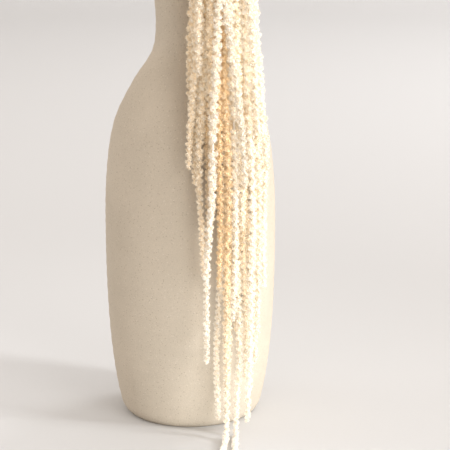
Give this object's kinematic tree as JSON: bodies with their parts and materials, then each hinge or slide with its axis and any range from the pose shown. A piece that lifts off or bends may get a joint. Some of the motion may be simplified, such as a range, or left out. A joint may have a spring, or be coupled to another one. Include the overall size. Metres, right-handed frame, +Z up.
{
  "type": "hanging amaranthus bunch in a vase",
  "caption": "Tall rounded stoneware vase holding a bunch of cream hanging amaranthus, whose long knobbly tassels arch over the rim and drape down to the surface.",
  "frame": {"origin": "centre of the vase's foot, on the surface that it stands on", "axes": "+Z up along the vase's axis, -Y towards the front, where the bunch hangs a little towards +X"},
  "size_m": [0.1808, 0.2558, 0.5717],
  "materials": {
    "stoneware": "matte speckled stoneware",
    "straw": "dried plant stalk",
    "cream": "dried, bleached flower clusters"
  },
  "bodies": {
    "root": {"vase": "stoneware", "stalk_front_left": "straw", "stalk_front_right": "straw", "stalk_middle_left": "straw", "stalk_middle_right": "straw", "stalk_back_left": "straw", "stalk_back_right": "straw", "spray_front_left": "cream", "spray_front_right": "cream", "spray_middle_left": "cream", "spray_middle_right": "cream", "spray_back_left": "cream", "spray_back_right": "cream"}
  },
  "joints": []
}
